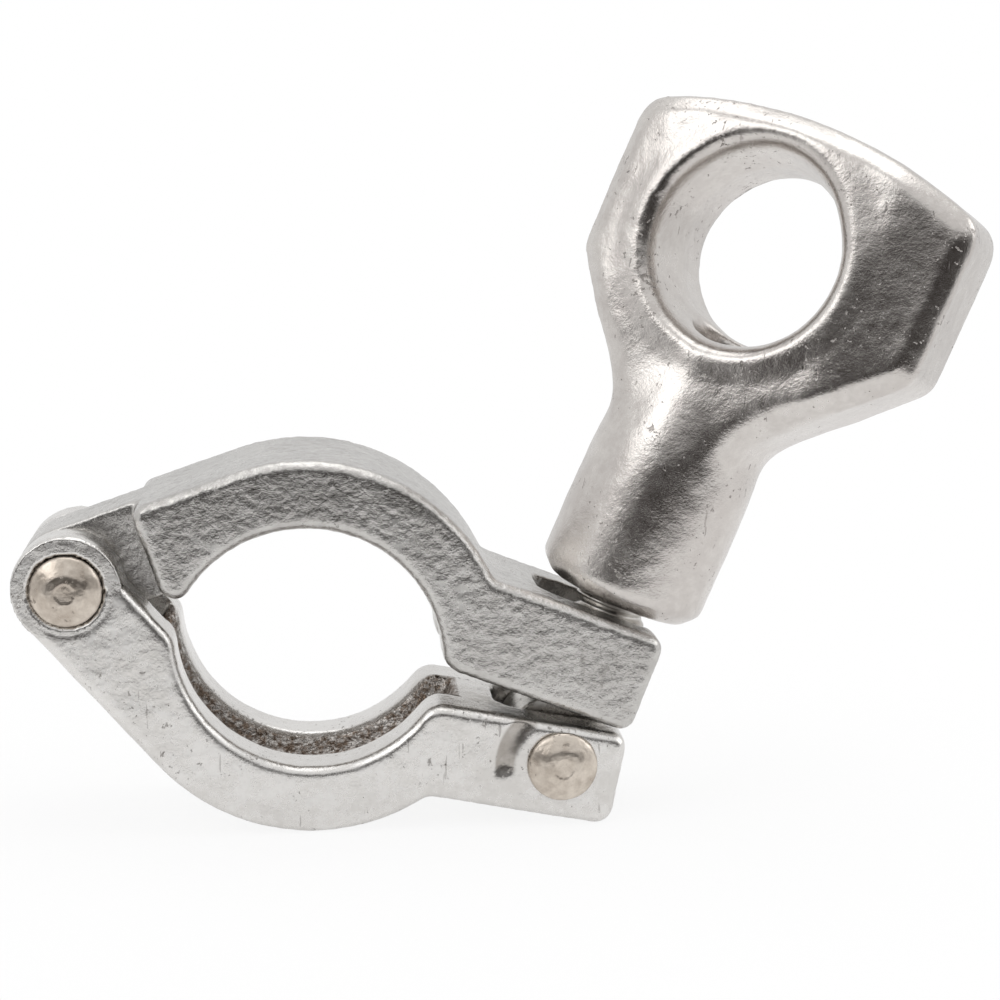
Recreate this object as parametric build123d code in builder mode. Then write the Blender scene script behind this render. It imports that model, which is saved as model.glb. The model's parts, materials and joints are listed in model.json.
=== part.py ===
from build123d import *

import os
from math import acos, asin, atan2, cos, degrees, hypot, pi, radians, sin, sqrt, tan

# Single-pin sanitary hinged clamp for 1/2 to 3/4 inch ferrules, closed and standing on its lower jaw.
#
# Two cast half rings are pinned together on the left. An eye bolt is pinned in the lower jaw's right ear
# and stands up through the slot of the upper jaw's ear, and a wing nut with a large eye sits on top.
#
# Frame: millimetres, X to the right, Y along the pipe, Z up. The origin is the centre of the lower jaw's
# ring. The whole clamp leans to the right until its lower jaw stands on the ring and on the ear's heel.

os.makedirs("parts", exist_ok=True)

# Ring of both jaws: the lips grip the ferrules, and the groove's sloping walls draw them together.
lip_radius = 11.0
ring_radius = 16.5
jaw_width = 14.5
groove_root_radius = 13.25
groove_mouth = 6.2
groove_wall_angle = 20.0
groove_edge_break = 0.35
cast_edge_break = 0.55

# Hinge: the lower jaw's arm is a fork, and the upper jaw's is a tongue between its two cheeks.
hinge_reach = 19.7
upper_hinge_drop = 0.75
boss_radius = 4.4
arm_inner_width = 3.6
fork_gap = 6.8
tongue_width = 6.4
fork_floor_radius = 8.2
shoulder_reach = 6.8
tip_height = 1.4
tip_round = 1.1
arm_blend = 2.4

# Ears: heights are measured from each jaw's own split plane.
ear_end = 26.7
lower_ear_inner = 4.05
lower_ear_outer = 11.8
upper_ear_inner = 3.5
upper_ear_outer = 11.7
ear_corner_round = 1.2
heel_round = 1.5
lip_corner_round = 2.0
ear_root_round = 1.0
slot_width = 6.8
slot_end = 16.0
slot_end_round = 2.0
closed_gap = 0.35

# Pins: two rivets, each peened to a low dome on both sides.
pin_radius = 2.38
pin_running_clearance = 0.06
pin_seat_clearance = 0.02
head_radius = 2.85
head_rim_height = 0.35
head_dome_height = 0.5
head_dome_flat = 1.5
head_gap = 0.05
hinge_seat_radius = 3.5
hinge_seat_depth = 0.35
bolt_pin_x = 21.75
bolt_pin_depth = 7.3
tool_mark_radius = 5.5
tool_mark_width = 1.25
tool_mark_depth = 0.22
tool_mark_tilt = 20.0
tool_mark_side = 155.0

# Eye bolt, 1/4 inch, and its lean outwards from square to the lower jaw's ear.
bolt_lean = 12.0
bolt_radius = 3.175
bolt_length = 34.5
bolt_tip_chamfer = 0.8
bolt_eye_radius = 4.7
bolt_eye_width = 6.3

# Wing nut: a round shank that spreads into a flat head with a large eye through it.
nut_turn = 32.8
nut_bore_clearance = 0.05
nut_lift = 0.6
nut_shank_radius = 7.1
nut_base_break = 1.3
nut_shank_straight = 12.5
nut_stem_half = 5.4
nut_stem_height = 15.2
nut_flare_blend = 8.0
nut_head_half = 15.2
nut_head_offset = 1.45
nut_head_low = 25.8
nut_head_high = 38.4
nut_height = 41.4
nut_corner_round = 2.4
nut_thickness = 11.2
nut_edge_break = 1.3
eye_height = 30.5
eye_radius = 7.15
eye_mouth_radius = 7.85
eye_rim_break = 0.9


def turned(angle):
    """Directions along and across a line that falls to the right by this angle in the XZ plane."""
    along = Vector(cos(radians(angle)), 0, -sin(radians(angle)))
    across = Vector(sin(radians(angle)), 0, cos(radians(angle)))
    return along, across


def jaw_plane(centre, angle, side):
    """Sketch plane of one jaw: local x towards the ears, local y away from the split plane."""
    along, across = turned(angle)
    return Plane(origin=centre, x_dir=along, z_dir=Vector(0, -side, 0))


# The lower jaw leans until the ring and the round of the ear's heel touch the same floor.
heel_x = ear_end - heel_round
heel_depth = lower_ear_outer - heel_round
stand_lean = degrees(asin((ring_radius - heel_round) / hypot(heel_x, heel_depth)) - atan2(heel_depth, heel_x))
lower_plane = jaw_plane(Vector(0, 0, 0), stand_lean, -1)
hinge_centre = lower_plane.from_local_coords((-hinge_reach, 0, 0))

# Empty, the upper jaw drops past the round until its ear's corner nearly meets the lower ear.
corner_x = ear_end - ear_corner_round + hinge_reach
corner_height = upper_ear_inner + ear_corner_round + upper_hinge_drop
corner_drop = lower_ear_inner - closed_gap - ear_corner_round
closed_angle = degrees(asin(corner_drop / hypot(corner_x, corner_height)) + atan2(corner_height, corner_x))
upper_along, upper_across = turned(stand_lean + closed_angle)
upper_centre = hinge_centre + upper_along * hinge_reach + upper_across * upper_hinge_drop
upper_plane = jaw_plane(upper_centre, stand_lean + closed_angle, 1)

# The bolt leans out of the lower ear, and the nut stands just clear of the upper ear's swinging corner.
bolt_pin_centre = lower_plane.from_local_coords((bolt_pin_x, bolt_pin_depth, 0))
bolt_across, bolt_along = turned(stand_lean + bolt_lean)
ear_corner = upper_plane.from_local_coords((ear_end - ear_corner_round, upper_ear_outer - ear_corner_round, 0))
nut_seat = (ear_corner - bolt_pin_centre).length + ear_corner_round + nut_lift
nut_base = bolt_pin_centre + bolt_along * nut_seat

jaw_half = jaw_width / 2
across_pipe = Vector(0, 1, 0)


def arm_directions(hinge_height):
    """Unit vectors of the straight flank, as (x, y) pairs: outwards from it, and along it to the ring."""
    hinge_distance = hypot(hinge_reach, hinge_height)
    outward = atan2(hinge_height, -hinge_reach) % (2 * pi) - acos((ring_radius - boss_radius) / hinge_distance)
    return (cos(outward), sin(outward)), (sin(outward), -cos(outward))


def arm_point(hinge_height, outwards, along):
    """Local point at these distances from the hinge centre, square to the flank and along it."""
    normal, line = arm_directions(hinge_height)
    return (
        -hinge_reach + outwards * normal[0] + along * line[0],
        hinge_height + outwards * normal[1] + along * line[1],
    )


def flank_ring_point(hinge_height):
    """Local point where the straight flank runs into the ring."""
    normal, line = arm_directions(hinge_height)
    return ring_radius * normal[0], ring_radius * normal[1]


def ear_points(inner, outer):
    """Local points of an ear: its inner face's two ends, then its outer face's two ends."""
    return (
        (sqrt(lip_radius**2 - inner**2), inner),
        (ear_end, inner),
        (ear_end, outer),
        (sqrt(ring_radius**2 - outer**2), outer),
    )


def fillet_corner(outline, point, radius):
    """Round the outline's corner that lies nearest to a local point."""
    fillet(outline.vertices().sort_by_distance(point)[0], radius)


def cut_groove(plane):
    """Turn the groove with its two sloping walls into the ring."""
    slope = tan(radians(groove_wall_angle))
    mouth_half = groove_mouth / 2
    root_half = mouth_half - (groove_root_radius - lip_radius) * slope
    clear = lip_radius - cast_edge_break
    section_plane = Plane(origin=plane.origin, x_dir=plane.x_dir, z_dir=plane.y_dir)
    with BuildSketch(section_plane) as section:
        with BuildLine():
            Polyline(
                (clear, mouth_half + groove_edge_break),
                (lip_radius, mouth_half + groove_edge_break),
                (lip_radius + groove_edge_break, mouth_half - groove_edge_break * slope),
                (groove_root_radius, root_half),
                (groove_root_radius, -root_half),
                (lip_radius + groove_edge_break, -mouth_half + groove_edge_break * slope),
                (lip_radius, -mouth_half - groove_edge_break),
                (clear, -mouth_half - groove_edge_break),
                close=True,
            )
        make_face()
    revolve(section.sketch, axis=Axis(plane.origin, across_pipe), mode=Mode.SUBTRACT)


def cut_ear_slot(plane, outer):
    """Open the ear from its end for the bolt, with a rounded inner end."""
    slot_plane = Plane(origin=plane.origin, x_dir=plane.x_dir, z_dir=plane.y_dir)
    reach = 2 * (ear_end - slot_end)
    with BuildSketch(slot_plane) as slot:
        with Locations((slot_end + reach / 2, 0)):
            Rectangle(reach, slot_width)
        fillet(slot.vertices().sort_by(Axis.X)[:2], slot_end_round)
    extrude(slot.sketch, amount=2 * outer, mode=Mode.SUBTRACT)


def cut_pin_bore(centre, clearance):
    """Drill one pin hole through both walls, along the pipe."""
    with BuildSketch(Plane(origin=centre, z_dir=across_pipe)) as bore:
        Circle(pin_radius + clearance)
    extrude(bore.sketch, amount=jaw_width, both=True, mode=Mode.SUBTRACT)


def cut_head_seat(centre, radius, depth):
    """Counterbore both sides round a pin for its heads."""
    for side in (-1, 1):
        seat_plane = Plane(origin=centre + across_pipe * side * (jaw_half - depth), z_dir=across_pipe * side)
        with BuildSketch(seat_plane) as seat:
            Circle(radius)
        extrude(seat.sketch, amount=jaw_half, mode=Mode.SUBTRACT)


def cut_tool_mark(centre):
    """Leave the curved bite of a ring-shaped heading tool that met the near face at a tilt."""
    to_mark, _ = turned(-tool_mark_side)
    lift = tan(radians(tool_mark_tilt))
    origin = centre - across_pipe * (jaw_half + tool_mark_radius * lift - tool_mark_depth)
    with BuildSketch(Plane(origin=origin, z_dir=(to_mark * lift - across_pipe).normalized())) as mark:
        Circle(tool_mark_radius)
        Circle(tool_mark_radius - tool_mark_width, mode=Mode.SUBTRACT)
    extrude(mark.sketch, amount=jaw_half, mode=Mode.SUBTRACT)


# Lower jaw: ring half, slotted ear for the bolt, and a forked arm to the hinge.
lip_right, ear_inner_end, ear_outer_end, heel = ear_points(lower_ear_inner, lower_ear_outer)
boss_flank = arm_point(0, boss_radius, 0)
boss_back = (-hinge_reach - boss_radius, 0)
boss_inner = arm_point(0, -arm_inner_width, sqrt(boss_radius**2 - arm_inner_width**2))
arm_inner_height = ring_radius - boss_radius - arm_inner_width
flank_normal, flank_line = arm_directions(0)
arm_end_back = sqrt(lip_radius**2 - arm_inner_height**2)
arm_end = (
    arm_inner_height * flank_normal[0] - arm_end_back * flank_line[0],
    arm_inner_height * flank_normal[1] - arm_end_back * flank_line[1],
)

with BuildPart() as lower_jaw:
    with BuildSketch(lower_plane) as lower_outline:
        with BuildLine():
            Line(lip_right, ear_inner_end)
            Line(ear_inner_end, ear_outer_end)
            Line(ear_outer_end, heel)
            ThreePointArc(heel, (0, ring_radius), flank_ring_point(0))
            Line(flank_ring_point(0), boss_flank)
            ThreePointArc(boss_flank, boss_back, boss_inner)
            Line(boss_inner, arm_end)
            ThreePointArc(arm_end, (0, lip_radius), lip_right)
        make_face()
        for point, radius in (
            (lip_right, lip_corner_round),
            (ear_inner_end, ear_corner_round),
            (ear_outer_end, heel_round),
            (heel, ear_root_round),
            (boss_inner, ear_root_round),
            (arm_end, arm_blend),
        ):
            fillet_corner(lower_outline, point, radius)
    extrude(amount=jaw_half, both=True)
    side_faces = lower_jaw.faces().sort_by(Axis.Y)
    chamfer(side_faces[0].edges() + side_faces[-1].edges(), cast_edge_break)
    cut_groove(lower_plane)
    cut_ear_slot(lower_plane, lower_ear_outer)
    with BuildSketch(Plane(origin=hinge_centre, z_dir=across_pipe)):
        Circle(fork_floor_radius)
    extrude(amount=fork_gap / 2, both=True, mode=Mode.SUBTRACT)
    cut_head_seat(hinge_centre, hinge_seat_radius, hinge_seat_depth)
    cut_tool_mark(bolt_pin_centre)
    cut_pin_bore(hinge_centre, pin_seat_clearance)
    cut_pin_bore(bolt_pin_centre, pin_seat_clearance)

# Upper jaw: ring half with a slotted ear, cut back to a shoulder, and the hinge tongue between the cheeks.
drop = -upper_hinge_drop
lip_right, ear_inner_end, ear_outer_end, heel = ear_points(upper_ear_inner, upper_ear_outer)
flank_normal, flank_line = arm_directions(drop)
shoulder_top = arm_point(drop, boss_radius, shoulder_reach)
shoulder_fall = (tip_height - drop - shoulder_reach * flank_line[1]) / flank_normal[1]
shoulder_foot = arm_point(drop, shoulder_fall, shoulder_reach)
tip_inner = (-sqrt(lip_radius**2 - tip_height**2), tip_height)
tongue_reach = hinge_reach * flank_line[0]

with BuildPart() as upper_jaw:
    with BuildSketch(upper_plane) as upper_outline:
        with BuildLine():
            Line(lip_right, ear_inner_end)
            Line(ear_inner_end, ear_outer_end)
            Line(ear_outer_end, heel)
            ThreePointArc(heel, (0, ring_radius), flank_ring_point(drop))
            Line(flank_ring_point(drop), shoulder_top)
            Line(shoulder_top, shoulder_foot)
            Line(shoulder_foot, tip_inner)
            ThreePointArc(tip_inner, (0, lip_radius), lip_right)
        make_face()
        for point, radius in (
            (lip_right, lip_corner_round),
            (ear_inner_end, ear_corner_round),
            (ear_outer_end, ear_corner_round),
            (heel, ear_root_round),
            (shoulder_top, tip_round),
            (shoulder_foot, tip_round),
            (tip_inner, tip_round),
        ):
            fillet_corner(upper_outline, point, radius)
    extrude(amount=jaw_half, both=True)
    side_faces = upper_jaw.faces().sort_by(Axis.Y)
    chamfer(side_faces[0].edges() + side_faces[-1].edges(), cast_edge_break)
    with BuildSketch(upper_plane):
        with BuildLine():
            Polyline(
                arm_point(drop, boss_radius, 0),
                arm_point(drop, boss_radius, shoulder_reach + cast_edge_break),
                arm_point(drop, -arm_inner_width, shoulder_reach + cast_edge_break),
                arm_point(drop, -arm_inner_width, 0),
                close=True,
            )
        make_face()
        with Locations((-hinge_reach, drop)):
            Circle(boss_radius)
    extrude(amount=tongue_width / 2, both=True)
    cut_groove(upper_plane)
    cut_ear_slot(upper_plane, upper_ear_outer)
    cut_pin_bore(hinge_centre, pin_running_clearance)


def add_pin(centre, seat_depth):
    """Turn a rivet: a straight pin with a low head, bevelled towards its centre, on each side."""
    seat = jaw_half - seat_depth + head_gap
    rim = seat + head_rim_height
    crown = rim + head_dome_height
    with BuildSketch(Plane(origin=centre, x_dir=bolt_across, z_dir=bolt_along)) as half_section:
        with BuildLine():
            Polyline(
                (0, -crown),
                (head_dome_flat, -crown),
                (head_radius, -rim),
                (head_radius, -seat),
                (pin_radius, -seat),
                (pin_radius, seat),
                (head_radius, seat),
                (head_radius, rim),
                (head_dome_flat, crown),
                (0, crown),
                close=True,
            )
        make_face()
    revolve(half_section.sketch, axis=Axis(centre, across_pipe))


with BuildPart() as hinge_pin:
    add_pin(hinge_centre, hinge_seat_depth)

with BuildPart() as bolt_pin:
    add_pin(bolt_pin_centre, 0)

# Swing bolt: a flat eye on the pin and a straight threaded rod, drawn at its outer diameter.
bolt_plane = Plane(origin=bolt_pin_centre, x_dir=bolt_across, z_dir=bolt_along)
with BuildPart() as swing_bolt:
    with BuildSketch(bolt_plane):
        Circle(bolt_radius)
    extrude(amount=bolt_length)
    chamfer(swing_bolt.faces().sort_by(lambda face: -face.center().dot(bolt_along))[0].edges(), bolt_tip_chamfer)
    with BuildSketch(Plane(origin=bolt_pin_centre, x_dir=bolt_across, z_dir=across_pipe)):
        Circle(bolt_eye_radius)
    extrude(amount=bolt_eye_width / 2, both=True)
    cut_pin_bore(bolt_pin_centre, pin_running_clearance)

# Wing nut: a thick flat head, cast a little off the shank's centre, on a round shank that spreads into it.
width_dir = bolt_across * cos(radians(nut_turn)) - across_pipe * sin(radians(nut_turn))
eye_dir = bolt_across * sin(radians(nut_turn)) + across_pipe * cos(radians(nut_turn))
front_plane = Plane(origin=nut_base, x_dir=width_dir, z_dir=-eye_dir)
section_plane = Plane(origin=nut_base, x_dir=width_dir, z_dir=bolt_along)
shank_fade = eye_height - eye_mouth_radius - eye_rim_break
eye_centre = nut_base + bolt_along * eye_height
eye_wall_half = nut_thickness / 2 - eye_rim_break
head_left = nut_head_offset - nut_head_half
head_right = nut_head_offset + nut_head_half

with BuildPart() as wing_nut:
    with BuildSketch(front_plane) as head_outline:
        with BuildLine():
            Polyline(
                (head_left, nut_head_high),
                (head_left, nut_head_low),
                (-nut_stem_half, nut_stem_height),
                (-nut_stem_half, nut_base_break),
                (nut_stem_half, nut_base_break),
                (nut_stem_half, nut_stem_height),
                (head_right, nut_head_low),
                (head_right, nut_head_high),
            )
            ThreePointArc((head_right, nut_head_high), (nut_head_offset, nut_height), (head_left, nut_head_high))
        make_face()
        for stem_x, end_x in ((-nut_stem_half, head_left), (nut_stem_half, head_right)):
            for point, radius in (
                ((stem_x, nut_stem_height), nut_flare_blend),
                ((end_x, nut_head_low), nut_corner_round),
                ((end_x, nut_head_high), nut_corner_round),
            ):
                fillet_corner(head_outline, point, radius)
    extrude(amount=nut_thickness / 2, both=True)
    head_faces = wing_nut.faces().sort_by(lambda face: (face.center() - nut_base).dot(eye_dir))
    chamfer(head_faces[0].edges() + head_faces[-1].edges(), nut_edge_break)
    with BuildSketch(Plane(origin=eye_centre, x_dir=width_dir, z_dir=bolt_along)):
        with BuildLine():
            Polyline(
                (0, -nut_thickness / 2),
                (eye_mouth_radius + eye_rim_break, -nut_thickness / 2),
                (eye_mouth_radius, -eye_wall_half),
                (eye_radius, 0),
                (eye_radius, eye_wall_half),
                (eye_radius + eye_rim_break, nut_thickness / 2),
                (0, nut_thickness / 2),
                close=True,
            )
        make_face()
    revolve(axis=Axis(eye_centre, eye_dir), mode=Mode.SUBTRACT)
    with BuildSketch(Plane(origin=nut_base, x_dir=width_dir, z_dir=-eye_dir)):
        with BuildLine():
            Polyline(
                (0, 0),
                (nut_shank_radius - nut_base_break, 0),
                (nut_shank_radius, nut_base_break),
                (nut_shank_radius, nut_shank_straight),
                (nut_thickness / 2, shank_fade),
                (0, shank_fade),
                close=True,
            )
        make_face()
    revolve(axis=Axis(nut_base, bolt_along))
    with BuildSketch(section_plane):
        Circle(bolt_radius + nut_bore_clearance)
    extrude(amount=eye_height, mode=Mode.SUBTRACT)

for name, piece in (
    ("lower_jaw", lower_jaw),
    ("upper_jaw", upper_jaw),
    ("hinge_pin", hinge_pin),
    ("bolt_pin", bolt_pin),
    ("swing_bolt", swing_bolt),
    ("wing_nut", wing_nut),
):
    piece.part.label = name
    export_step(piece.part, f"parts/{name}.step")
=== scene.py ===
import json
import math

import bmesh
import bpy
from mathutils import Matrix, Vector, noise


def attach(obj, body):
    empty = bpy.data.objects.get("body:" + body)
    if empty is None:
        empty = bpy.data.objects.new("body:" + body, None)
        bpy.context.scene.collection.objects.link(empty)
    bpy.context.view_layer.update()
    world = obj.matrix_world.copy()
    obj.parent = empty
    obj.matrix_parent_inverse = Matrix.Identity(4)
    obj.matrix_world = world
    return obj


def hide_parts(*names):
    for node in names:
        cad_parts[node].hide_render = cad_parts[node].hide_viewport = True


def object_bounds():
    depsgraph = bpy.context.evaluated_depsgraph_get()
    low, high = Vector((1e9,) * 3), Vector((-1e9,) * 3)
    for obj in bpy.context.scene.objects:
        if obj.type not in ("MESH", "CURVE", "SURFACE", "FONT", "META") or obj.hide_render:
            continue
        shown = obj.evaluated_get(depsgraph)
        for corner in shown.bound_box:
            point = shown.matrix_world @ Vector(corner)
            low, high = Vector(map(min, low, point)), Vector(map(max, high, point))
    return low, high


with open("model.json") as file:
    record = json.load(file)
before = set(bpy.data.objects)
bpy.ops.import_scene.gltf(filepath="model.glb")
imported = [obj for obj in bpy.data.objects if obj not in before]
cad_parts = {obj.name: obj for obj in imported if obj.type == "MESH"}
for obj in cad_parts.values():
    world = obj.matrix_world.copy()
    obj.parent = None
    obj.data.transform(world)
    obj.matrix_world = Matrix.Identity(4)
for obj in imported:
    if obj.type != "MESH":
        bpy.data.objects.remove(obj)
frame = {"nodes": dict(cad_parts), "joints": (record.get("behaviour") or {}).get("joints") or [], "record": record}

cad_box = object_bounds()

# Lower jaw: a half ring with a forked hinge arm and a slotted ear, investment cast in stainless steel.
# It was tumbled in stone media after casting, so its edges are soft and bright and its flat sides are
# satin, with the pits and scratches that the tumbling left.
mm = 0.001


def made_mesh(blank):
    """The mesh that an object's modifiers make of it."""
    bpy.context.view_layer.update()
    return bpy.data.meshes.new_from_object(blank.evaluated_get(bpy.context.evaluated_depsgraph_get()))


def cast_skin(node, grain, rounds, ripple, ripple_width, shape=None, soft=None, soft_rounds=0):
    """Remake a casting's sharp form as an even skin, tumble its edges round and ripple it like its mould.

    shape moves one point of the form, and soft says from 0 to 1 how far the wax was blended by hand there."""
    weld = 0.001 * mm
    least_blend = 0.01
    smoothing = 0.5
    ripple_fade, ripple_step, ripple_layers = 0.6, 2.1, 3
    form = bmesh.new()
    form.from_mesh(frame["nodes"][node].data)
    bmesh.ops.remove_doubles(form, verts=form.verts, dist=weld)
    mesh = bpy.data.meshes.new(node + "_form")
    form.to_mesh(mesh)
    form.free()
    blank = bpy.data.objects.new(node + "_form", mesh)
    bpy.context.scene.collection.objects.link(blank)
    remesh = blank.modifiers.new("skin", "REMESH")
    remesh.mode = "VOXEL"
    remesh.voxel_size = grain
    blank.data = made_mesh(blank)
    blank.modifiers.clear()
    if soft:
        blend_group = blank.vertex_groups.new(name="blend")
        for vert in blank.data.vertices:
            weight = soft(vert.co)
            if weight > least_blend:
                blend_group.add([vert.index], weight, "REPLACE")
        blending = blank.modifiers.new("blend", "SMOOTH")
        blending.factor = smoothing
        blending.iterations = soft_rounds
        blending.vertex_group = "blend"
    tumble = blank.modifiers.new("tumble", "SMOOTH")
    tumble.factor = smoothing
    tumble.iterations = rounds
    skin = made_mesh(blank)
    bpy.data.objects.remove(blank)
    skin.name = node + "_casting"
    shell = bmesh.new()
    shell.from_mesh(skin)
    shell.normal_update()
    for vert in shell.verts:
        if shape:
            vert.co = shape(vert.co)
        wave = noise.fractal(vert.co / ripple_width, ripple_fade, ripple_step, ripple_layers)
        vert.co += vert.normal * wave * ripple
    shell.to_mesh(skin)
    shell.free()
    skin.shade_smooth()
    skin.materials.clear()
    piece = bpy.data.objects.new(node + "_casting", skin)
    bpy.context.scene.collection.objects.link(piece)
    return piece


class Finish:
    """One socket of a finish's nodes: arithmetic on it adds Math nodes, and node() adds any other."""

    def __init__(self, tree, socket=None):
        self.tree = tree
        self.socket = socket

    def node(self, kind, settings, values, output=0):
        """Add a node: its settings are set first, then the values or links of its sockets."""
        made = self.tree.nodes.new(kind)
        for name, value in settings.items():
            setattr(made, name, value)
        for name, value in values.items():
            if isinstance(value, Finish):
                self.tree.links.new(value.socket, made.inputs[name])
            else:
                made.inputs[name].default_value = value
        return Finish(self.tree, made.outputs[output])

    def math(self, operation, *values):
        return self.node("ShaderNodeMath", {"operation": operation}, dict(enumerate(values)))

    def vector_math(self, operation, *values, output=0):
        return self.node("ShaderNodeVectorMath", {"operation": operation}, dict(enumerate(values)), output)

    def __add__(self, other):
        return self.math("ADD", self, other)

    __radd__ = __add__

    def __sub__(self, other):
        return self.math("SUBTRACT", self, other)

    def __rsub__(self, other):
        return self.math("SUBTRACT", other, self)

    def __mul__(self, other):
        return self.math("MULTIPLY", self, other)

    __rmul__ = __mul__

    def grain(self, width, detail=2.0, roughness=0.5):
        """Fractal noise from 0 to 1 whose largest lumps are this wide."""
        return self.node(
            "ShaderNodeTexNoise",
            {"noise_dimensions": "3D"},
            {"Vector": self, "Scale": 1 / width, "Detail": detail, "Roughness": roughness},
        )

    def step(self, low, high):
        """A soft step from 0 at low to 1 at high."""
        return self.node(
            "ShaderNodeMapRange",
            {"interpolation_type": "SMOOTHSTEP"},
            {"Value": self, "From Min": low, "From Max": high, "To Min": 0.0, "To Max": 1.0},
        )

    def blend(self, first, second):
        """A colour that goes from first to second as this mask goes from 0 to 1."""
        first_colour, second_colour, mixed_colour = 6, 7, 2
        return self.node(
            "ShaderNodeMix",
            {"data_type": "RGBA"},
            {"Factor": self, first_colour: first, second_colour: second},
            mixed_colour,
        )

    def from_pipe_line(self, centre):
        """The way from centre to here: whole, square to the pipe's line, and how long the second is."""
        off = self.vector_math("SUBTRACT", self, centre)
        flat = off.vector_math("MULTIPLY", off, (1, 0, 1))
        return off, flat, flat.vector_math("LENGTH", flat, output="Value")

    def depth(self):
        """How far this way goes along the pipe."""
        return self.node("ShaderNodeSeparateXYZ", {}, {"Vector": self}, "Y")


def start_finish(name):
    """A new finish: its material, its metal shader set, and its place on the piece."""
    material = bpy.data.materials.new(name)
    material.use_nodes = True
    tree = material.node_tree
    tree.nodes["Principled BSDF"].inputs["Metallic"].default_value = 1.0
    return material, Finish(tree).node("ShaderNodeTexCoord", {}, {}, "Object")


def end_finish(material, colour, roughness, height):
    """Send colour, roughness and the surface's height, in metres, to the metal shader."""
    tree = material.node_tree
    shader = tree.nodes["Principled BSDF"]
    bump = height.node("ShaderNodeBump", {}, {"Strength": 1.0, "Distance": 1.0, "Height": height}, "Normal")
    for wire, name in ((colour, "Base Color"), (roughness, "Roughness"), (bump, "Normal")):
        tree.links.new(wire.socket, shader.inputs[name])
    return material


def cast_steel(
    name, bright, dull, roughness, peel, peel_width, pits, sparkle, ring_centre=None, bite=None
):
    """Tumbled cast stainless: two tones, an orange-peel skin, patches of pits, scratches and a fine sparkle.

    The groove round ring_centre is painted dark: painted shade and a painted dark reflection in the recess, with
    the brown tint of a coarse skin that the media never reached. The heading tool left a dark bite beside the pin
    at bite."""
    pit_edge, scratch_edge, tone_edge = (0.90, 0.96), (0.86, 0.9), (0.36, 0.64)
    pit_depth, scratch_depth = 0.04 * mm, 0.02 * mm
    scratch_turn, scratch_stretch = (0.2, 0.7, 0), (1, 1, 0.1)
    pit_patching, scratch_patching = 0.45, 0.3
    pit_share, scratch_share = 0.55, 0.35
    mottle_dulling, tone_dulling, pit_dulling = 0.16, 0.10, 0.15
    old_dirt = (0.13, 0.11, 0.095, 1)
    material, place = start_finish(name)
    tone = place.grain(8 * mm, detail=4.0)
    mottle = place.grain(1.1 * mm, detail=5.0, roughness=0.7)
    skin = place.grain(peel_width, detail=5.0, roughness=0.62)
    glint = place.grain(0.24 * mm, detail=3.0, roughness=0.7)
    patch = place.grain(5 * mm)
    pit = place.grain(0.5 * mm, detail=3.0, roughness=0.6) + patch * pit_patching
    pit = pit.step(*pit_edge) * pits
    drawn = place.node(
        "ShaderNodeMapping", {}, {"Vector": place, "Rotation": scratch_turn, "Scale": scratch_stretch}
    )
    scratch = (drawn.grain(0.4 * mm) + patch * scratch_patching).step(*scratch_edge) * pits
    colour = (tone * 0.5 + mottle * 0.5).step(*tone_edge).blend(dull, bright)
    colour = (pit * pit_share + scratch * scratch_share).blend(colour, old_dirt)
    even = roughness - (mottle_dulling + tone_dulling) / 2
    rough = mottle * mottle_dulling + tone * tone_dulling + even + pit * pit_dulling
    height = skin * peel + glint * sparkle - pit * pit_depth - scratch * scratch_depth
    if ring_centre:
        groove_mouth, groove_root = (11.2 * mm, 11.6 * mm), (13.4 * mm, 13.8 * mm)
        groove_side, groove_shade_edge = (2.9 * mm, 3.2 * mm), (0.40, 0.60)
        groove_peel = 0.16 * mm
        groove_polish = 0.08
        least_groove_shade, more_groove_shade = 0.35, 0.6
        # The groove's colour is painted shade and a painted dark reflection, with a brown tint of untumbled skin.
        groove_shade_and_tint = (0.17, 0.12, 0.085, 1)
        off, _, reach = place.from_pipe_line(ring_centre)
        across = off.math("ABSOLUTE", off.depth())
        groove = (1 - reach.step(*groove_root)) * reach.step(*groove_mouth)
        groove = groove * (1 - across.step(*groove_side))
        # Patches that set how dark the painted groove shade is.
        groove_shade_patches = place.grain(0.7 * mm, detail=4.0, roughness=0.7).step(*groove_shade_edge)
        # Paint the groove dark, as shade and reflection with a brown tint.
        colour = (groove * (least_groove_shade + groove_shade_patches * more_groove_shade)).blend(colour, groove_shade_and_tint)
        rough = rough - groove * groove_polish
        crust = place.grain(0.45 * mm, detail=3.0, roughness=0.6)
        height = height + groove * crust * groove_peel
    if bite:
        pin_place, bite_way = bite
        bite_start, bite_end = (3.7 * mm, 4.1 * mm), (5.3 * mm, 5.6 * mm)
        bite_facing, bite_back = (0.78, 0.92), (-6.9 * mm, -6.4 * mm)
        least_mark, more_mark = 0.2, 0.75
        # The bite is painted darker than the metal round it.
        bite_darkening = (0.20, 0.165, 0.13, 1)
        off, flat, reach = place.from_pipe_line(pin_place)
        way = flat.vector_math("NORMALIZE", flat)
        facing = way.vector_math("DOT_PRODUCT", way, bite_way, output="Value")
        mark = reach.step(*bite_start) * (1 - reach.step(*bite_end))
        mark = mark * facing.step(*bite_facing) * (least_mark + mottle * more_mark)
        mark = mark * (1 - off.depth().step(*bite_back))
        # Paint the bite darker.
        colour = mark.blend(colour, bite_darkening)
    return end_finish(material, colour, rough, height)


def joint_named(name):
    """A joint of the clamp, as its record gives it."""
    return next(joint for joint in frame["joints"] if joint["name"] == name)


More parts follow.
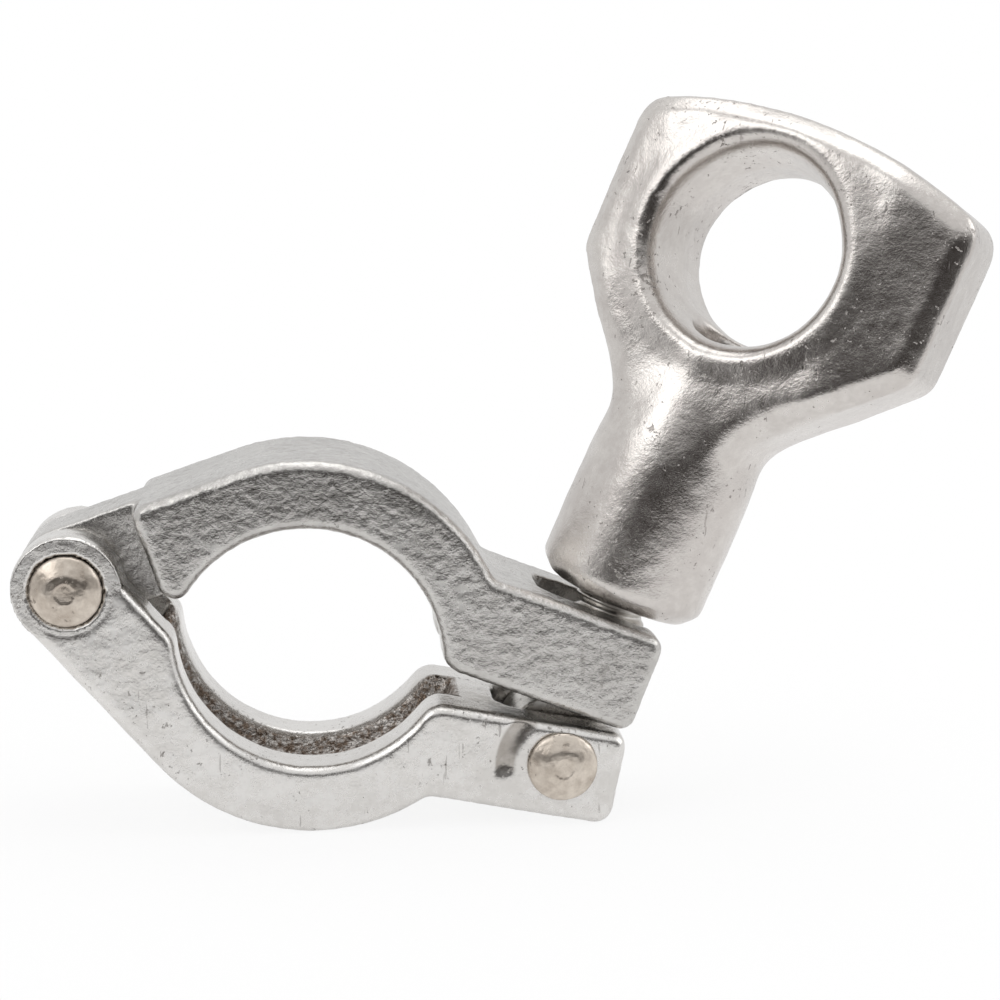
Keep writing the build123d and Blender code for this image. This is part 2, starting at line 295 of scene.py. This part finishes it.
bolt_pin_place = Vector(joint_named("bolt_swing")["pos_m"])
hinge_place = Vector(joint_named("jaw_hinge")["pos_m"])
flat_side = 6.6 * mm
collar_inside, collar_outside, collar_face = 3.02 * mm, 4.3 * mm, 7.2 * mm
bite_line = Vector((-0.891, 0, 0.454))
bite_inside, bite_outside = 3.6 * mm, 5.8 * mm
bite_middle, bite_half = 4.75 * mm, 1.0 * mm
bite_turn, bite_turn_soft = 0.80, 0.1
bite_depth_in_mm, ear_face_in_mm = 0.30, 7.25


def press_face(point):
    """Press the heading tool's bite beside the bolt's pin, and close the metal round the hinge pin's heads."""
    if abs(point.y) < flat_side:
        return point
    around = Vector((point.x - hinge_place.x, 0, point.z - hinge_place.z)).length
    if collar_inside < around < collar_outside:
        return Vector((point.x, math.copysign(max(abs(point.y), collar_face), point.y), point.z))
    reach = Vector((point.x - bolt_pin_place.x, 0, point.z - bolt_pin_place.z))
    if point.y < 0 and bite_inside < reach.length < bite_outside:
        band = max(0.0, 1 - (abs(reach.length - bite_middle) / bite_half) ** 2)
        turned = reach.normalized().dot(bite_line)
        facing = min(max((turned - bite_turn) / bite_turn_soft, 0.0), 1.0)
        pressed = (bite_depth_in_mm * band * facing - ear_face_in_mm) * mm
        return Vector((point.x, max(point.y, pressed), point.z))
    return point


lower_jaw = cast_skin(
    "lower_jaw", grain=0.2 * mm, rounds=14, ripple=0.03 * mm, ripple_width=3.0 * mm, shape=press_face
)
lower_jaw.data.materials.append(
    cast_steel(
        "tumbled_satin",
        bright=(0.80, 0.785, 0.765, 1),
        dull=(0.67, 0.65, 0.625, 1),
        roughness=0.27,
        peel=0.040 * mm,
        peel_width=0.7 * mm,
        pits=1.0,
        sparkle=0.012 * mm,
        ring_centre=(0, 0, 0),
        bite=(bolt_pin_place, bite_line),
    )
)
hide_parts("lower_jaw")
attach(lower_jaw, "lower_jaw")

# Upper jaw: the other half ring, with the hinge tongue and the ear that the nut presses on. The same steel and
# casting, but its mould was rougher, so its flat sides have a wrinkled orange-peel skin that looks darker.
upper_ring = (-0.690 * mm, 0, -2.606 * mm)
upper_jaw = cast_skin("upper_jaw", grain=0.2 * mm, rounds=14, ripple=0.035 * mm, ripple_width=0.7 * mm)
upper_jaw.data.materials.append(
    cast_steel(
        "orange_peel_steel",
        bright=(0.63, 0.615, 0.595, 1),
        dull=(0.50, 0.485, 0.465, 1),
        roughness=0.25,
        peel=0.075 * mm,
        peel_width=0.50 * mm,
        pits=0.5,
        sparkle=0.018 * mm,
        ring_centre=upper_ring,
    )
)
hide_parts("upper_jaw")
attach(upper_jaw, "upper_jaw")

# Pins: two stainless rivets through the hinge and the bolt's eye, peened over at both ends. The hammer
# left low rounded heads, a little warmer and duller than the castings.
head_radius = 2.85 * mm
head_foot = 7.3 * mm
dome_in_mm, dent_in_mm = 0.42, 0.05
flat_share = 0.27
peened = cast_steel(
    "peened_heads",
    bright=(0.74, 0.67, 0.59, 1),
    dull=(0.46, 0.40, 0.34, 1),
    roughness=0.30,
    peel=0.03 * mm,
    peel_width=0.6 * mm,
    pits=0.8,
    sparkle=0.010 * mm,
)


def hammered_head(pin_place):
    """What the hammer does to a pin here: its heads rise into domes with a small flat in their centres."""

    def raise_dome(point):
        around = Vector((point.x - pin_place.x, 0, point.z - pin_place.z)).length / head_radius
        if abs(point.y) < head_foot or around > 1:
            return point
        dent = dent_in_mm if around < flat_share else 0.0
        dome = dome_in_mm * (1 - max(around, flat_share) ** 2) - dent
        return point + Vector((0, math.copysign(dome * mm, point.y), 0))

    return raise_dome


for name, pin_place in (("hinge_pin", hinge_place), ("bolt_pin", bolt_pin_place)):
    head = hammered_head(pin_place)
    pin = cast_skin(name, grain=0.1 * mm, rounds=16, ripple=0.02 * mm, ripple_width=1.2 * mm, shape=head)
    pin.data.materials.append(peened)
    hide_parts(name)
    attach(pin, "lower_jaw")

# Swing bolt: an eye bolt in stainless steel, 1/4 inch with 20 threads to the inch. The thread was rolled, so
# its crests are round and bright.
bolt_line = Vector(joint_named("nut_travel")["axis"]).normalized()
pipe_line = Vector((0, 1, 0))
bolt_side = pipe_line.cross(bolt_line)
thread_pitch = 1.27 * mm
thread_depth = 0.62 * mm
thread_start = 6.0 * mm
bolt_radius = 3.175 * mm
skin_share = 0.8


def roll_thread(point):
    """Press the rod's skin in between the crests of a right-hand thread."""
    reach = point - bolt_pin_place
    along = reach.dot(bolt_line)
    spoke = reach - bolt_line * along
    depth_share = min(max((along - thread_start) / thread_pitch, 0.0), 1.0)
    if not depth_share or spoke.length < skin_share * bolt_radius:
        return point
    turn = math.atan2(spoke.dot(pipe_line), spoke.dot(bolt_side)) / (2 * math.pi)
    wave = 0.5 + 0.5 * math.cos(2 * math.pi * (along / thread_pitch - turn))
    return point - spoke.normalized() * thread_depth * depth_share * wave


swing_bolt = cast_skin(
    "swing_bolt", grain=0.15 * mm, rounds=2, ripple=0.0, ripple_width=mm, shape=roll_thread
)
swing_bolt.data.materials.append(
    cast_steel(
        "rolled_steel",
        bright=(0.70, 0.68, 0.65, 1),
        dull=(0.45, 0.43, 0.40, 1),
        roughness=0.28,
        peel=0.008 * mm,
        peel_width=0.7 * mm,
        pits=0.4,
        sparkle=0.002 * mm,
    )
)
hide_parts("swing_bolt")
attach(swing_bolt, "swing_bolt")

# Wing nut: a heavy stainless casting, tapped at its foot, with a large eye for a bar. Its shank and head
# were blended in the wax, its eye has a rolled lip, and it was tumbled until its faces sparkle.
eye = next(mount for mount in frame["record"]["mounts"] if mount["name"] == "wing_eye")
eye_line = Vector(eye["axis"]).normalized()
if eye_line.y < 0:
    eye_line = -eye_line
wing_line = eye_line.cross(bolt_line)
eye_place = Vector(eye["pos_m"])
eye_height = (eye_place - bolt_pin_place).dot(bolt_line)
lip_reach = 8.7 * mm
lip_half = 2.6 * mm
lip_lift = 0.30 * mm
lip_rise = (4.4 * mm, 5.2 * mm)
crown_lift = 0.55 * mm
crown_rise = (4 * mm, 9 * mm)
wing_thin = 0.18
wing_start = (9 * mm, 16 * mm)
wing_foot = (-14 * mm, -8 * mm)
blend_start = (-24 * mm, -18 * mm)
blend_end = (-11.5 * mm, -9 * mm)


def ease(value, low, high):
    """A soft step from 0 at low to 1 at high."""
    share = min(max((value - low) / (high - low), 0.0), 1.0)
    return share * share * (3 - 2 * share)


def shape_head(point):
    """Thin the wings towards their ends, raise the lip round the eye and lift the crown."""
    reach = point - bolt_pin_place
    high = reach.dot(bolt_line) - eye_height
    wide = reach.dot(wing_line)
    deep = reach.dot(eye_line)
    thin = wing_thin * ease(abs(wide), *wing_start) * ease(high, *wing_foot)
    lip = max(0.0, 1 - abs(math.hypot(high, wide) - lip_reach) / lip_half)
    lip = lip * lip * (3 - 2 * lip) * lip_lift * ease(abs(deep), *lip_rise)
    crown = crown_lift * ease(high, *crown_rise)
    return point + eye_line * (math.copysign(lip, deep) - deep * thin) + bolt_line * crown


def blend_shank(point):
    """Where the wax was blended: the shank's spread into the head."""
    high = (point - bolt_pin_place).dot(bolt_line) - eye_height
    return ease(high, *blend_start) * (1 - ease(high, *blend_end))


wing_nut = cast_skin(
    "wing_nut",
    grain=0.24 * mm,
    rounds=26,
    ripple=0.03 * mm,
    ripple_width=3.0 * mm,
    shape=shape_head,
    soft=blend_shank,
    soft_rounds=220,
)
wing_nut.data.materials.append(
    cast_steel(
        "tumbled_sparkle",
        bright=(0.68, 0.65, 0.62, 1),
        dull=(0.57, 0.535, 0.51, 1),
        roughness=0.25,
        peel=0.030 * mm,
        peel_width=0.9 * mm,
        pits=0.9,
        sparkle=0.024 * mm,
    )
)
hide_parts("wing_nut")
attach(wing_nut, "wing_nut")

# Floor: a round white card that the clamp stands on. Other light meets it as a card, but the lens sees nearly
# through it, so it shows only the soft shadow under the ring and never hides the nut when the bolt has
# swung down past it.
floor_radius = 0.12
floor_sides = 96
card_white = (0.9, 0.9, 0.9, 1)
card_roughness = 0.9
card_gleam = 0.5
clear_near, clear_more = 0.88, 0.12
clear_from, clear_to = 45 * mm, 85 * mm
floor_form = bmesh.new()
bmesh.ops.create_circle(floor_form, cap_ends=True, segments=floor_sides, radius=floor_radius)
bmesh.ops.translate(floor_form, verts=floor_form.verts, vec=(0, 0, cad_box[0].z))
floor_mesh = bpy.data.meshes.new("card_floor")
floor_form.to_mesh(floor_mesh)
floor_form.free()
floor = bpy.data.objects.new("card_floor", floor_mesh)
bpy.context.scene.collection.objects.link(floor)
card = bpy.data.materials.new("white_card")
card.use_nodes = True
card_tree = card.node_tree
card_shader = card_tree.nodes["Principled BSDF"]
card_shader.inputs["Base Color"].default_value = card_white
card_shader.inputs["Roughness"].default_value = card_roughness
card_surface = Finish(card_tree)
glow = card_surface.node("ShaderNodeEmission", {}, {"Color": (1, 1, 1, 1), "Strength": 1.0})
direct = card_surface.node("ShaderNodeLightPath", {}, {}, "Is Camera Ray")
mirrored = card_surface.node("ShaderNodeLightPath", {}, {}, "Is Glossy Ray")
spot = card_surface.node("ShaderNodeTexCoord", {}, {}, "Object")
away = spot.vector_math("LENGTH", spot, output="Value").step(clear_from, clear_to)
lit = Finish(card_tree, card_shader.outputs[0])
clear = card_surface.node("ShaderNodeBsdfTransparent", {}, {})
shown_card = card_surface.node("ShaderNodeMixShader", {}, {0: mirrored * card_gleam, 1: lit, 2: glow})
clearness = direct * (clear_near + away * clear_more)
mixed_card = card_surface.node("ShaderNodeMixShader", {}, {0: clearness, 1: shown_card, 2: clear})
card_tree.links.new(mixed_card.socket, card_tree.nodes["Material Output"].inputs["Surface"])
floor.data.materials.append(card)

# Light: a pale grey tent with a dark gap low in front, which the metal mirrors, and three soft boxes. The
# lens sees the tent as plain white, but the metal doesn't.
tent_grey = (0.85, 0.85, 0.85, 1)
gap_dark = (0.045, 0.04, 0.038, 1)
gap_front, gap_top = (0.25, 0.8), (0.2, 0.6)
world = bpy.data.worlds.new("light_tent")
bpy.context.scene.world = world
world.use_nodes = True
sky = world.node_tree
aim = Finish(sky).node("ShaderNodeTexCoord", {}, {}, "Generated")
ahead = aim.depth()
rise = Finish(sky, ahead.socket.node.outputs["Z"])
gap = (0 - ahead).step(*gap_front) * (1 - rise.step(*gap_top))
tent = gap.blend(tent_grey, gap_dark)
seen = Finish(sky).node("ShaderNodeLightPath", {}, {}, "Is Camera Ray")
tent = seen.blend(tent, (1, 1, 1, 1))
sky.links.new(tent.socket, sky.nodes["Background"].inputs["Color"])
sky.nodes["Background"].inputs["Strength"].default_value = 1.0

for name, place, target, size, power in (
    ("left_box", (-0.35, -0.25, 0.35), (0, 0, 0.01), 0.30, 0.42),
    ("top_box", (0.05, 0.05, 0.50), (0.01, 0, 0.01), 0.40, 0.6),
    ("right_box", (0.40, -0.05, 0.20), (0.01, 0, 0.01), 0.25, 0.25),
):
    lamp = bpy.data.lights.new(name, "AREA")
    lamp.energy = power
    lamp.size = size
    box = bpy.data.objects.new(name, lamp)
    bpy.context.scene.collection.objects.link(box)
    box.location = place
    box.rotation_mode = "QUATERNION"
    box.rotation_quaternion = (Vector(target) - Vector(place)).to_track_quat("-Z", "Y")

# Camera: a long lens in front of the clamp, level with the top of the nut and left of the clamp's middle. It
# looks down at the ring and a little to the right.
look_down = 10.06
look_right = 5.41
lens = bpy.data.cameras.new("viewpoint")
lens.sensor_width = 36.0
lens.lens = 77.86
lens.clip_start = 0.01
camera = bpy.data.objects.new("viewpoint", lens)
bpy.context.scene.collection.objects.link(camera)
camera.location = (-0.00106, -0.17505, 0.04049)
camera.rotation_euler = (math.radians(90 - look_down), 0, math.radians(-look_right))
bpy.context.scene.camera = camera
bpy.context.scene.view_settings.view_transform = "Standard"
